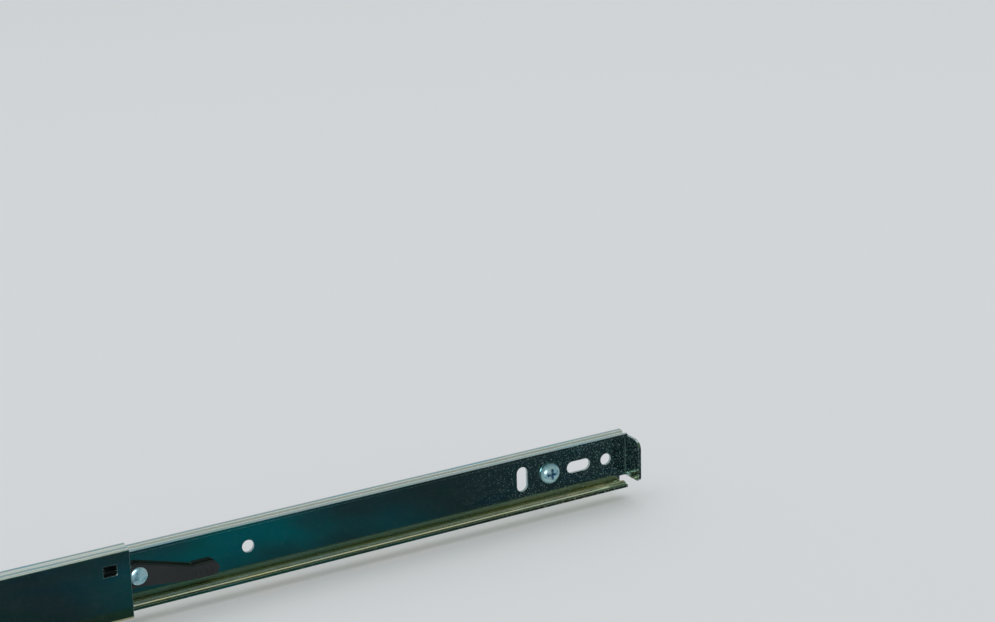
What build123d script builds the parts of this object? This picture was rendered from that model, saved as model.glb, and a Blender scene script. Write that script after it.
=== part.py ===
"""Full-extension drawer slide: three rolled rails on four rows of balls, drawn fully pulled out.

X runs out of the cabinet, Y from the cabinet wall to the drawer side and Z up. The origin is on the
wall, at the front edge of the cabinet rail and at its middle height. Sizes are in millimetres.
"""

import os
from math import cos, radians, sin

from build123d import *

# Driving sizes
slide_length = 450.0
slide_thickness = 12.7
drawer_rail_height = 25.6
ball_diameter = 2.5

# The full extension, shared between the two stages
travel_split = 5.0
middle_travel = slide_length / 2 - travel_split
drawer_travel = slide_length / 2 + travel_split

# Sheet and clearances
cabinet_sheet = 1.2
middle_sheet = 1.0
drawer_sheet = 1.2
cage_sheet = 0.4
race_clearance = 0.05
running_gap = 0.2
strip_gap = 0.3
landing_gap = 0.3
web_room = 2.0

# Rolled bends, each a little larger than its sheet
roll_ease = 0.3
shoulder_ease = 0.2
corner_ease = 0.5
cabinet_bend = 1.0
cabinet_roll = cabinet_sheet + roll_ease
shoulder_radius = middle_sheet + shoulder_ease
drawer_roll = drawer_sheet + roll_ease
drawer_bend = drawer_sheet + corner_ease
cage_bend = cage_sheet + roll_ease

# Angles that each race wraps round its balls, from the vertical through the ball
cabinet_race_angle = 50.0
shoulder_angle = 35.0
step_angle = 40.0
middle_lip_angle = 60.0
drawer_far_angle = 55.0
drawer_near_angle = 45.0
cabinet_lip = 0.9


def across(radius, angle):
    """Width that an arc of this radius covers while it turns by the angle."""
    return radius * sin(radians(angle))


def upright(radius, angle):
    """Height of a point on an arc above its centre, at the angle from the top."""
    return radius * cos(radians(angle))


# Ball centres and profile heights, worked out from the drawer rail outwards
race_radius = ball_diameter / 2 + race_clearance
middle_web_y = cabinet_sheet + web_room
middle_face_y = middle_web_y + middle_sheet
cage_web_y = middle_face_y + running_gap
drawer_lip_y = cage_web_y + cage_sheet + running_gap
drawer_web_y = slide_thickness - drawer_sheet
drawer_half = drawer_rail_height / 2
roll_drop = drawer_roll - upright(drawer_roll, drawer_far_angle)
inner_ball_z = drawer_half + upright(race_radius, drawer_far_angle) - roll_drop
crest_radius = race_radius + middle_sheet
step_radius = race_radius + crest_radius
outer_ball_z = inner_ball_z + upright(step_radius, step_angle)
outer_ball_y = middle_web_y + shoulder_radius + across(shoulder_radius + race_radius, shoulder_angle)
inner_ball_y = outer_ball_y + across(step_radius, step_angle)
shoulder_z = outer_ball_z - upright(race_radius + shoulder_radius, shoulder_angle)
shoulder_top = shoulder_z + shoulder_radius
cabinet_roll_drop = cabinet_roll - upright(cabinet_roll, cabinet_race_angle)
cabinet_flange_z = outer_ball_z + upright(race_radius, cabinet_race_angle) - cabinet_roll_drop
cabinet_roll_y = outer_ball_y - across(race_radius + cabinet_roll, cabinet_race_angle)
drawer_roll_y = inner_ball_y + across(race_radius + drawer_roll, drawer_far_angle)
near_roll_drop = drawer_roll - upright(drawer_roll, drawer_near_angle)
near_lip_z = inner_ball_z - upright(race_radius, drawer_near_angle) + near_roll_drop
trough_under_z = outer_ball_z - race_radius - middle_sheet

# Rail ends along X, with the slide pulled out
bumper_length = 6.5
front_setback = 3.0
tab_setback = 2.9
middle_front = middle_travel - front_setback
middle_rear = bumper_length + landing_gap + middle_travel - slide_length
drawer_rear = middle_rear + bumper_length + landing_gap + drawer_travel
tab_back = landing_gap + middle_travel + drawer_travel
drawer_front = tab_back - tab_setback

# Screw holes and slots, set out from the rails' ends
hole_diameter = 5.2
slot_length = 11.7
tall_slot_length = 11.0
cabinet_pitch = 32.0
cabinet_front_hole = -37.0
cabinet_rear_hole = 29.0 - slide_length
cabinet_middle_hole = (cabinet_front_hole + cabinet_rear_hole) / 2
cabinet_rounds = [cabinet_front_hole, cabinet_middle_hole, cabinet_rear_hole]
cabinet_slots = [cabinet_front_hole - cabinet_pitch, cabinet_rear_hole + cabinet_pitch]
cabinet_talls = [cabinet_front_hole - 2 * cabinet_pitch, cabinet_middle_hole - cabinet_pitch]
front_round_inset = 10.1
front_slot_inset = 24.1
screw_inset = 38.9
front_tall_inset = 52.5
middle_round_inset = 180.4
rear_tall_inset = 68.7
rear_pitch = 14.0
rear_tall = drawer_rear + rear_tall_inset
rear_round = rear_tall + rear_pitch
rear_slot = rear_round + rear_pitch
screw_x = tab_back - screw_inset
drawer_rounds = [tab_back - front_round_inset, screw_x, tab_back - middle_round_inset, rear_round]
drawer_slots = [tab_back - front_slot_inset, rear_slot]
drawer_talls = [tab_back - front_tall_inset, rear_tall]
window_length = 24.0
window_height = 12.0
window_count = 4
window_pitch = 92.0
window_x = (middle_front + middle_rear) / 2

# Front tab
tab_height = 18.6
tab_bend = 0.5
tab_end_y = 0.7
tab_bottom_corner = 1.8
tab_top_corner = 4.0
tab_root = 6.0

# Pan-head screw
screw_head_diameter = 9.0
screw_head_height = 2.9
screw_rim = 0.9
screw_crown = 2.4
screw_shank_diameter = 4.2
screw_length = 16.0
screw_point = 4.0
recess_length = 5.0
recess_width = 1.1
recess_depth = 1.8
recess_taper = 6.0

# Release lever on the drawer rail and the lug of the middle rail that it catches
lever_gap = 0.3
lever_thickness = 2.7
lever_back_y = drawer_web_y - lever_gap
lever_face_y = lever_back_y - lever_thickness
lever_boss = 4.6
lug_setback = 12.0
lug_height = 4.4
lug_overlap = 1.3
lug_corner = 0.8
lug_screw_gap = 0.45
lug_back = middle_front - lug_setback
lug_low = screw_head_diameter / 2 + lug_screw_gap
lug_tip_y = lever_face_y + lug_overlap
hook_reach = 17.0
hook_grip = 3.0
hook_length = 5.0
hook_ramp = 7.0
hook_heel = 2.0
arm_lug_gap = 1.2
arm_top = lug_low - arm_lug_gap
arm_bottom = -1.5
lever_edge = 0.6
finger_reach = 28.0
finger_drop = 4.5
finger_height = 5.5
finger_length = 12.0
grip_rib_width = 0.9
grip_rib_height = 0.5
grip_rib_pitch = 2.4
grip_rib_count = 4
leaf_reach = 25.0
leaf_drop = 4.9
leaf_sag = 1.6
leaf_thickness = 0.9
lever_x = lug_back + hook_reach
rivet_diameter = 4.0
rivet_clearance = 0.08
rivet_head_diameter = 7.4
rivet_head_height = 0.9

# Bumpers
cabinet_bumper_height = 18.0
middle_bumper_margin = 1.0
middle_bumper_height = drawer_rail_height - 2 * middle_bumper_margin
bumper_depth = 4.6
bumper_inset = 0.3
bumper_edge = 0.8
stud_diameter = 3.6
stud_clearance = 0.1
stud_recess = 0.3

# Stop pips that trap the cages
pip_length = 3.0
pip_width = 1.2
pip_root = 0.4
pip_clearance = 0.35
pip_setback = 4.0

# Ball cages
pocket_clearance = 0.07
pocket_radius = ball_diameter / 2 + pocket_clearance
pocket_grip = 0.7
cage_stop_gap = 0.3
cage_end = 8.0
cage_trim = pip_setback + pip_length / 2 + cage_stop_gap
outer_ball_count = 6
inner_ball_count = 6
ball_sides = 8
ball_levels = [-67.5, -22.5, 22.5, 67.5]
strip_low = shoulder_top + strip_gap
strip_high = cabinet_flange_z - strip_gap
strip_left = cabinet_sheet + cabinet_bend
strip_right = outer_ball_y + pocket_grip * pocket_radius
outer_cage_front = -cage_trim
outer_cage_rear = middle_rear + cage_trim
outer_cage_length = outer_cage_front - outer_cage_rear
inner_cage_front = lug_back - cage_stop_gap
inner_cage_rear = drawer_rear + cage_trim
inner_cage_length = inner_cage_front - inner_cage_rear
cage_flange_z = (near_lip_z + trough_under_z + cage_sheet) / 2
cage_right = inner_ball_y + pocket_grip * pocket_radius
cage_window_count = 4
cage_window_height = 14.0
cage_window_bar = 9.0
cage_window_pitch = inner_cage_length / cage_window_count
outer_ball_pitch = (outer_cage_length - 2 * cage_end) / (outer_ball_count - 1)
inner_ball_pitch = (inner_cage_length - 2 * cage_end) / (inner_ball_count - 1)
outer_ball_xs = [outer_cage_rear + cage_end + i * outer_ball_pitch for i in range(outer_ball_count)]
inner_ball_xs = [inner_cage_rear + cage_end + i * inner_ball_pitch for i in range(inner_ball_count)]


def facing_wall(x, y):
    """Sketch plane at this place that looks at the cabinet wall."""
    return Plane((x, y, 0), x_dir=(1, 0, 0), z_dir=(0, -1, 0))


def facing_drawer(x, y):
    """Sketch plane at this place that looks at the drawer side."""
    return Plane((x, y, 0), x_dir=(1, 0, 0), z_dir=(0, 1, 0))


def screw_holes(y, rounds, slots, talls):
    """Outlines of a rail's screw holes, its slots along the rail and its slots across it."""
    with BuildSketch(facing_wall(0, y), mode=Mode.PRIVATE) as plan:
        with Locations(*[(x, 0) for x in rounds]):
            Circle(hole_diameter / 2)
        with Locations(*[(x, 0) for x in slots]):
            SlotOverall(slot_length, hole_diameter)
        with Locations(*[(x, 0) for x in talls]):
            SlotOverall(tall_slot_length, hole_diameter, rotation=90)
    return plan.sketch


def pip_plans(x, y, base):
    """Outlines of a pressed stop, on the top flange and on the bottom flange."""
    with BuildSketch(Plane.XY.offset(base), mode=Mode.PRIVATE) as plan:
        with Locations((x, y)):
            Rectangle(pip_length, pip_width)
    return plan.sketch, mirror(plan.sketch, about=Plane.XY)


def bumper(x, seat_y, height, stud_y):
    """Plastic block on a rail's web, held by a stud in the web's hole."""
    with BuildPart() as block:
        with BuildSketch(facing_drawer(x, seat_y)):
            Rectangle(bumper_length - 2 * bumper_inset, height)
        extrude(amount=bumper_depth)
        chamfer(block.faces().sort_by(Axis.Y)[-1].edges(), bumper_edge)
        with BuildSketch(facing_drawer(x, stud_y)):
            Circle(stud_diameter / 2)
        extrude(amount=seat_y - stud_y)
    return block


os.makedirs("parts", exist_ok=True)

# Cabinet rail: a channel whose flanges roll up and over the outer balls
with BuildPart() as cabinet_member:
    with BuildSketch(Plane.YZ.offset(-slide_length)):
        with BuildLine():
            web = Line((cabinet_sheet, 0), (cabinet_sheet, cabinet_flange_z - cabinet_bend))
            corner = JernArc(web @ 1, web % 1, cabinet_bend, -90)
            flange = Line(corner @ 1, (cabinet_roll_y, cabinet_flange_z))
            roll = JernArc(flange @ 1, flange % 1, cabinet_roll, cabinet_race_angle)
            race = JernArc(roll @ 1, roll % 1, race_radius, -2 * cabinet_race_angle)
            Line(race @ 1, (race @ 1) + (race % 1) * cabinet_lip)
            mirror(about=Plane.XZ)
            offset(amount=cabinet_sheet, side=Side.LEFT)
        make_face()
    extrude(amount=slide_length)
    holes = screw_holes(0, cabinet_rounds, cabinet_slots, cabinet_talls)
    extrude(holes, amount=cabinet_sheet, dir=(0, 1, 0), mode=Mode.SUBTRACT)
    cabinet_stud_x = bumper_length / 2 - slide_length
    with BuildSketch(facing_drawer(cabinet_stud_x, 0)):
        Circle(stud_diameter / 2 + stud_clearance)
    extrude(amount=cabinet_sheet, mode=Mode.SUBTRACT)
    pip_base = cabinet_flange_z + pip_root
    pip_height = pip_base - shoulder_top - pip_clearance
    top_pip, bottom_pip = pip_plans(-pip_setback, strip_left + pip_width, pip_base)
    extrude(top_pip, amount=pip_height, dir=(0, 0, -1))
    extrude(bottom_pip, amount=pip_height, dir=(0, 0, 1))

# Middle rail: the shoulder, the trough for the outer balls and the crest over the inner balls
with BuildPart() as middle_member:
    with BuildSketch(Plane.YZ.offset(middle_rear)):
        with BuildLine():
            web = Line((middle_web_y, 0), (middle_web_y, shoulder_z))
            shoulder = JernArc(web @ 1, web % 1, shoulder_radius, -90 - shoulder_angle)
            trough = JernArc(shoulder @ 1, shoulder % 1, race_radius, shoulder_angle + step_angle)
            JernArc(trough @ 1, trough % 1, crest_radius, -step_angle - middle_lip_angle)
            mirror(about=Plane.XZ)
            offset(amount=middle_sheet, side=Side.RIGHT)
        make_face()
    extrude(amount=middle_front - middle_rear)
    lug_window = lug_tip_y - middle_face_y
    middle_stud_x = middle_rear + bumper_length / 2
    with BuildSketch(facing_wall(0, middle_web_y)):
        with Locations((window_x, 0)):
            with GridLocations(window_pitch, 0, window_count, 1):
                SlotOverall(window_length, window_height)
        with Locations((lug_back + middle_sheet + lug_window / 2, lug_low + lug_height / 2)):
            Rectangle(lug_window, lug_height)
        with Locations((middle_stud_x, 0)):
            Circle(stud_diameter / 2 + stud_clearance)
    extrude(amount=-middle_sheet, mode=Mode.SUBTRACT)
    with BuildSketch(Plane.YZ.offset(lug_back)):
        with Locations(((middle_web_y + lug_tip_y) / 2, lug_low + lug_height / 2)):
            lug = Rectangle(lug_tip_y - middle_web_y, lug_height)
        fillet(lug.vertices().group_by(Axis.Y)[-1], lug_corner)
    extrude(amount=middle_sheet)
    pip_base = shoulder_top - pip_root
    pip_height = cabinet_flange_z - pip_clearance - pip_base
    top_pip, bottom_pip = pip_plans(middle_rear + pip_setback, middle_web_y + shoulder_radius, pip_base)
    extrude(top_pip, amount=pip_height, dir=(0, 0, 1))
    extrude(bottom_pip, amount=pip_height, dir=(0, 0, -1))

# Drawer rail: a shallow channel with a race rolled into each flange and a tab folded across its front
with BuildPart() as drawer_member:
    with BuildSketch(Plane.YZ.offset(drawer_rear)):
        with BuildLine():
            web = Line((slide_thickness, 0), (slide_thickness, drawer_half - drawer_bend))
            corner = JernArc(web @ 1, web % 1, drawer_bend, 90)
            flange = Line(corner @ 1, (drawer_roll_y, drawer_half))
            fall = JernArc(flange @ 1, flange % 1, drawer_roll, drawer_far_angle)
            race = JernArc(fall @ 1, fall % 1, race_radius, -drawer_far_angle - drawer_near_angle)
            lip = JernArc(race @ 1, race % 1, drawer_roll, drawer_near_angle)
            Line(lip @ 1, (drawer_lip_y, near_lip_z))
            mirror(about=Plane.XZ)
            offset(amount=drawer_sheet, side=Side.LEFT)
        make_face()
    extrude(amount=drawer_front - drawer_rear)
    with BuildSketch(Plane.XY):
        with BuildLine():
            root = Line((drawer_front - tab_root, drawer_web_y), (tab_back - tab_bend, drawer_web_y))
            fold = JernArc(root @ 1, root % 1, tab_bend, -90)
            Line(fold @ 1, (tab_back, tab_end_y))
            offset(amount=drawer_sheet, side=Side.LEFT)
        make_face()
    extrude(amount=tab_height / 2, both=True)
    for place, corner_radius in ((0, tab_bottom_corner), (-1, tab_top_corner)):
        tab_end = drawer_member.edges().filter_by(Axis.X).group_by(Axis.Y)[0].sort_by(Axis.Z)
        fillet(tab_end[place], corner_radius)
    holes = screw_holes(drawer_web_y, drawer_rounds, drawer_slots, drawer_talls)
    extrude(holes, amount=drawer_sheet, dir=(0, 1, 0), mode=Mode.SUBTRACT)
    with BuildSketch(facing_drawer(lever_x, drawer_web_y)):
        Circle(rivet_diameter / 2)
    extrude(amount=drawer_sheet, mode=Mode.SUBTRACT)
    pip_base = near_lip_z - pip_root
    pip_height = trough_under_z - pip_clearance - pip_base
    top_pip, bottom_pip = pip_plans(drawer_rear + pip_setback, drawer_lip_y + pip_width / 2, pip_base)
    extrude(top_pip, amount=pip_height, dir=(0, 0, 1))
    extrude(bottom_pip, amount=pip_height, dir=(0, 0, -1))

# Ball with a few flat facets, because it repeats so often
with BuildPart() as ball:
    for angle in ball_levels:
        with BuildSketch(Plane.XY.offset(across(ball_diameter / 2, angle))):
            RegularPolygon(upright(ball_diameter / 2, angle), ball_sides)
    loft(ruled=True)

# Strips that space the outer balls, open on the drawer side
with BuildPart() as outer_cage_top:
    with BuildSketch(Plane.XY.offset(strip_low)):
        with Locations(((outer_cage_rear + outer_cage_front) / 2, (strip_left + strip_right) / 2)):
            Rectangle(outer_cage_length, strip_right - strip_left)
        with Locations(*[(x, outer_ball_y) for x in outer_ball_xs]):
            RegularPolygon(pocket_radius, ball_sides, mode=Mode.SUBTRACT)
    extrude(amount=strip_high - strip_low)

with BuildPart() as outer_cage_bottom:
    add(mirror(outer_cage_top.part, about=Plane.XY))

with BuildPart() as outer_balls_top:
    with Locations(*[(x, outer_ball_y, outer_ball_z) for x in outer_ball_xs]):
        add(ball.part)

with BuildPart() as outer_balls_bottom:
    add(mirror(outer_balls_top.part, about=Plane.XY))

# One-piece channel that spaces both inner rows of balls
with BuildPart() as inner_cage:
    with BuildSketch(Plane.YZ.offset(inner_cage_rear)):
        with BuildLine():
            web = Line((cage_web_y, 0), (cage_web_y, cage_flange_z - cage_bend))
            corner = JernArc(web @ 1, web % 1, cage_bend, -90)
            Line(corner @ 1, (cage_right, cage_flange_z))
            mirror(about=Plane.XZ)
            offset(amount=cage_sheet, side=Side.RIGHT)
        make_face()
    extrude(amount=inner_cage_length)
    with BuildSketch(Plane.XY):
        with Locations(*[(x, inner_ball_y) for x in inner_ball_xs]):
            RegularPolygon(pocket_radius, ball_sides)
    extrude(amount=drawer_rail_height, both=True, mode=Mode.SUBTRACT)
    with BuildSketch(facing_drawer((inner_cage_rear + inner_cage_front) / 2, cage_web_y)):
        with GridLocations(cage_window_pitch, 0, cage_window_count, 1):
            Rectangle(cage_window_pitch - cage_window_bar, cage_window_height)
    extrude(amount=cage_sheet, mode=Mode.SUBTRACT)

with BuildPart() as inner_balls_top:
    with Locations(*[(x, inner_ball_y, inner_ball_z) for x in inner_ball_xs]):
        add(ball.part)

with BuildPart() as inner_balls_bottom:
    add(mirror(inner_balls_top.part, about=Plane.XY))

# Pan-head screw through the drawer rail, with its cross recess
with BuildPart() as drawer_screw:
    head_top_y = drawer_web_y - screw_head_height
    rim_x = screw_x + screw_head_diameter / 2
    rim_y = drawer_web_y - screw_rim
    shank_x = screw_x + screw_shank_diameter / 2
    tip_y = drawer_web_y + screw_length
    with BuildSketch(Plane.XY):
        with BuildLine():
            top = Line((screw_x, head_top_y), (rim_x - screw_crown, head_top_y))
            crown = TangentArc(top @ 1, (rim_x, rim_y), tangent=top % 1)
            Polyline(
                crown @ 1,
                (rim_x, drawer_web_y),
                (shank_x, drawer_web_y),
                (shank_x, tip_y - screw_point),
                (screw_x, tip_y),
                top @ 0,
            )
        make_face()
    revolve(axis=Axis((screw_x, 0, 0), (0, 1, 0)))
    with BuildSketch(facing_wall(screw_x, head_top_y)):
        Rectangle(recess_length, recess_width)
        Rectangle(recess_width, recess_length)
    extrude(amount=-recess_depth, taper=recess_taper, mode=Mode.SUBTRACT)

# Release lever: hook and spring leaf behind the pivot, finger pad in front of it
with BuildPart() as release_lever:
    with BuildSketch(facing_wall(lever_x, lever_back_y)):
        Circle(lever_boss)
        with Locations((finger_reach - finger_length / 2, -finger_drop)):
            Circle(finger_height / 2)
        make_hull()
        with Locations((finger_reach, -finger_drop)):
            SlotOverall(finger_length, finger_height)
        hook_face = -hook_reach - landing_gap
        hook_back = hook_face - hook_length
        hook_end = hook_back - hook_ramp
        with BuildLine():
            FilletPolyline(
                (hook_end, arm_bottom),
                (hook_end, arm_bottom + hook_heel),
                (hook_back, lug_low + hook_grip),
                (hook_face, lug_low + hook_grip),
                (hook_face, arm_top),
                (0, arm_top),
                (0, arm_bottom),
                radius=lever_edge,
                close=True,
            )
        make_face()
        with BuildLine():
            leaf = SagittaArc((0, leaf_thickness - lever_boss), (-leaf_reach, -leaf_drop), leaf_sag)
        trace(leaf, line_width=leaf_thickness)
        Circle(rivet_diameter / 2 + rivet_clearance, mode=Mode.SUBTRACT)
    extrude(amount=lever_thickness)
    with BuildSketch(facing_wall(lever_x, lever_face_y)):
        with Locations((finger_reach, -finger_drop)):
            with GridLocations(grip_rib_pitch, 0, grip_rib_count, 1):
                Rectangle(grip_rib_width, finger_height / 2)
    extrude(amount=grip_rib_height)

# Rivet that the lever turns on, peened flush with the back of the drawer rail
with BuildPart() as lever_rivet:
    head_y = lever_face_y - rivet_clearance
    head_x = lever_x + rivet_head_diameter / 2
    shank_x = lever_x + rivet_diameter / 2
    with BuildSketch(Plane.XY):
        with BuildLine():
            Polyline(
                (lever_x, head_y - rivet_head_height),
                (head_x - rivet_head_height, head_y - rivet_head_height),
                (head_x, head_y),
                (shank_x, head_y),
                (shank_x, slide_thickness),
                (lever_x, slide_thickness),
                close=True,
            )
        make_face()
    revolve(axis=Axis((lever_x, 0, 0), (0, 1, 0)))

# Blocks at the back: the middle rail lands on one, the flanges of the drawer rail on the other
cabinet_rear_bumper = bumper(cabinet_stud_x, cabinet_sheet, cabinet_bumper_height, stud_recess)
middle_rear_bumper = bumper(middle_stud_x, middle_face_y, middle_bumper_height, middle_web_y)

pieces = {
    "cabinet_member": cabinet_member,
    "cabinet_rear_bumper": cabinet_rear_bumper,
    "middle_member": middle_member,
    "middle_rear_bumper": middle_rear_bumper,
    "outer_cage_top": outer_cage_top,
    "outer_cage_bottom": outer_cage_bottom,
    "outer_balls_top": outer_balls_top,
    "outer_balls_bottom": outer_balls_bottom,
    "inner_cage": inner_cage,
    "inner_balls_top": inner_balls_top,
    "inner_balls_bottom": inner_balls_bottom,
    "drawer_member": drawer_member,
    "drawer_screw": drawer_screw,
    "release_lever": release_lever,
    "lever_rivet": lever_rivet,
}
for name, piece in pieces.items():
    piece.part.label = name
    export_step(piece.part, f"parts/{name}.step")
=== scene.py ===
"""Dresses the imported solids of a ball-bearing drawer slide and sets it in a plain studio.

Everything is in metres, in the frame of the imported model: X out of the cabinet, Y from the cabinet
wall to the drawer side, Z up.
"""

import math

import bmesh
import bpy
from bpy.props import FloatProperty, FloatVectorProperty, IntProperty, PointerProperty
from mathutils import Matrix, Vector


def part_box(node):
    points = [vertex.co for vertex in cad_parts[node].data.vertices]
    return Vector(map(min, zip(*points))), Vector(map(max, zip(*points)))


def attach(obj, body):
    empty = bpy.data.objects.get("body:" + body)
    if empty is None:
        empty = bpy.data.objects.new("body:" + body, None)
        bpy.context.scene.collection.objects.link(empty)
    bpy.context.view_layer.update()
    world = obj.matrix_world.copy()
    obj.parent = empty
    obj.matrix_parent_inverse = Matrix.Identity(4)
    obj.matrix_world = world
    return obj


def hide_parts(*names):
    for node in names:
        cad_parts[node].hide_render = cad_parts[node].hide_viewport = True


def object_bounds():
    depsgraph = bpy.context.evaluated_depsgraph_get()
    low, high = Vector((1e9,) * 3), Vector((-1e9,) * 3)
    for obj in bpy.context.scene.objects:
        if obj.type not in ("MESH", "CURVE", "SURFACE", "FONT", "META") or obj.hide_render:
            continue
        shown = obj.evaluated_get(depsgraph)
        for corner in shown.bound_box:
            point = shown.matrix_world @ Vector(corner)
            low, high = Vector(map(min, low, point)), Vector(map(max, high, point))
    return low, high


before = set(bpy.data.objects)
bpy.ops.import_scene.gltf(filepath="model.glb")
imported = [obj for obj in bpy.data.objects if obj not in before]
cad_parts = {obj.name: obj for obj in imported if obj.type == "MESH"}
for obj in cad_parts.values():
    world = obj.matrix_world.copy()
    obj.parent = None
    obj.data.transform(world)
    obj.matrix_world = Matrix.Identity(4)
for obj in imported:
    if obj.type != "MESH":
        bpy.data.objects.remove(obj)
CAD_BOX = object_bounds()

bl_info = {
    "name": "Drawer Slide Dressing",
    "version": (1, 0, 0),
    "blender": (4, 5, 0),
    "location": "3D View > Sidebar > Drawer Slide",
    "description": "Zinc, steel and plastic finishes, screw, rivet, balls and cages for a drawer slide",
    "category": "Object",
}

MM = 0.001
FULL_TURN = 2 * math.pi

# Angles in degrees: up to the first a face counts as flat, up to the second as smooth,
# and from the third on an edge is broken
FLAT_ANGLE = 0.4
SMOOTH_ANGLE = 32
BREAK_ANGLE = 40

# Points nearer than this are joined
WELD = 0.002 * MM

SCREW_LOW, SCREW_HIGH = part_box("drawer_screw")
RIVET_LOW, RIVET_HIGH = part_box("lever_rivet")
CAGE_LOW, CAGE_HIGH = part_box("inner_cage")

ZINC_RAILS = ("cabinet_member", "middle_member", "drawer_member")
MOULDINGS = ("release_lever", "cabinet_rear_bumper", "middle_rear_bumper")
OUTER_ROWS = ("outer_balls_top", "outer_balls_bottom")
INNER_ROWS = ("inner_balls_top", "inner_balls_bottom")
OUTER_STRIPS = {"outer_cage_top": "outer_balls_top", "outer_cage_bottom": "outer_balls_bottom"}

# Where the rails' finish changes: places along an axis, and the way that a face looks
STRAW_HEIGHTS = (-9.0 * MM, -10.8 * MM)
DUST_HEIGHTS = (-8.0 * MM, -9.2 * MM)
DUST_DEPTHS = (6.2 * MM, 6.9 * MM)
DUST_SIDE = (0.0, 0.2, 1.0)
SAND_REACH = (330 * MM, 415 * MM)
# Stretch along the slide over which the stray grains, painted as glints, grow in number
GLINT_GRAIN_REACH = (360 * MM, 412 * MM)
# Ball track on the upper flanges: rougher, and painted lighter on the side that faces the wall (painted
# highlight)
SHEEN_TRACK_HEIGHTS = (9.0 * MM, 10.5 * MM)
SHEEN_TRACK_SIDE = (0.0, -0.7, 0.7)

# Width of the rubbed band along edges; on the rails and the turned parts the band is also a painted
# highlight
ZINC_WEAR_AND_SHEEN = 0.35 * MM
HARDWARE_WEAR = 0.2 * MM
MOULDED_WEAR = 0.25 * MM

# Roughness of the plastics and the depth of their grain
BLACK_FACE = (0.42, 0.006 * MM)
NATURAL_FACE = (0.4, 0.004 * MM)

# Steps of the turned and arched forms
SCREW_STEPS = 64
THREAD_STEPS = 30
SCREW_DOME_STEPS = 14
RIVET_STEPS = 48
RIVET_DOME_STEPS = 10
BALL_STEPS = 4
POCKET_STEPS = 40
MOUTH_STEPS = 20
CORNER_STEPS = 8

# Stage
MATT = 0.9
FLOOR_HALF = 20.0
FLOOR_GAP = 0.05 * MM
SOFTBOX_SIZE = (5.2, 2.0)
SOFTBOX_PLACE = (0.15, 0.35, 2.2)
CARD_SIDES = (-1.2, 2.2)
CARD_FAR = -0.6
CARD_NEAR = -4 * MM
CARD_TOP = 2.2
PATCH_ENDS = ((0.20, 0.27), (0.38, 0.31))
WHITE_SIDES = (0.02, 0.235)
WHITE_HEIGHTS = (-0.010, 0.170)
WHITE_GAP = 0.05
SENSOR_WIDTH = 36.0
CLIP_START = 0.01


def length(title, text, default):
    """A size in metres that the panel can change."""
    return FloatProperty(
        name=title, description=text, default=default, min=0.0, unit="LENGTH", precision=5
    )


def count(title, text, default, least):
    """A whole number that the panel can change."""
    return IntProperty(name=title, description=text, default=default, min=least)


def colour(title, text, default):
    """A colour that the panel can change."""
    return FloatVectorProperty(
        name=title, description=text, default=(*default, 1.0), size=4, min=0.0, max=1.0, subtype="COLOR"
    )


def share(title, text, default):
    """A plain share between nothing and all."""
    return FloatProperty(
        name=title, description=text, default=default, min=0.0, max=1.0, subtype="FACTOR"
    )


def number(title, text, default, **settings):
    """A plain number that the panel can change."""
    return FloatProperty(name=title, description=text, default=default, min=0.0, **settings)


def camera_angle(title, text, degrees):
    """An angle that the panel can change."""
    return FloatProperty(name=title, description=text, default=math.radians(degrees), unit="ROTATION")


class SlideSizes(bpy.types.PropertyGroup):
    """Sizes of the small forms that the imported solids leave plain."""

    sheared_edge: length("Sheared edge", "Width of the round along the rails' sheared edges", 0.3 * MM)
    moulded_edge: length("Moulded edge", "Width of the round along moulded edges", 0.3 * MM)
    cage_edge: length("Cage edge", "Width of the break along the cages' edges", 0.06 * MM)
    ball_diameter: length("Ball diameter", "Diameter of every ball", 2.5 * MM)
    ball_count: count("Balls in a row", "Balls in each row", 6, 2)
    pocket_play: length("Pocket play", "Gap between a ball and its pocket", 0.07 * MM)
    head_height: length("Head height", "Height of the screw head over the rail", 2.9 * MM)
    rim_height: length("Rim height", "Height of the straight rim of the screw head", 0.7 * MM)
    rim_break: length("Rim break", "Width of the break under the rim of the screw head", 0.12 * MM)
    recess_length: length("Recess length", "Length of each bar of the cross recess", 5.6 * MM)
    recess_width: length("Recess width", "Width of each bar of the cross recess", 1.3 * MM)
    recess_depth: length("Recess depth", "Depth of the cross recess", 2.1 * MM)
    shank_diameter: length("Thread diameter", "Diameter over the screw's thread", 4.2 * MM)
    core_diameter: length("Core diameter", "Diameter of the screw's core", 2.9 * MM)
    thread_pitch: length("Thread pitch", "Distance between turns of the thread", 1.5 * MM)
    screw_point: length("Point length", "Length of the screw's tapered point", 5.0 * MM)
    rivet_shank: length("Rivet shank", "Diameter of the rivet's shank", 4.0 * MM)
    rivet_head: length("Rivet head height", "Height of the rivet's domed head", 0.9 * MM)
    rivet_dimple: length("Rivet dimple", "Depth of the dimple in the rivet's head", 0.18 * MM)
    rivet_break: length("Rivet break", "Width of the break under the rivet's head", 0.05 * MM)
    rivet_peen: length("Rivet peen", "Width of the round on the rivet's peened tail", 0.15 * MM)
    cage_sheet: length("Cage sheet", "Sheet of the inner cage", 0.4 * MM)
    cage_bend: length("Cage bend", "Inside radius of the inner cage's bends", 0.3 * MM)
    cage_windows: count("Cage windows", "Windows in the inner cage's web", 4, 1)
    cage_window_height: length("Window height", "Height of the inner cage's windows", 14.0 * MM)
    cage_window_bar: length("Window bar", "Width of the bar between the cage's windows", 9.0 * MM)
    cage_window_corner: length("Window corner", "Corner radius of the cage's windows", 2.0 * MM)


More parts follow.
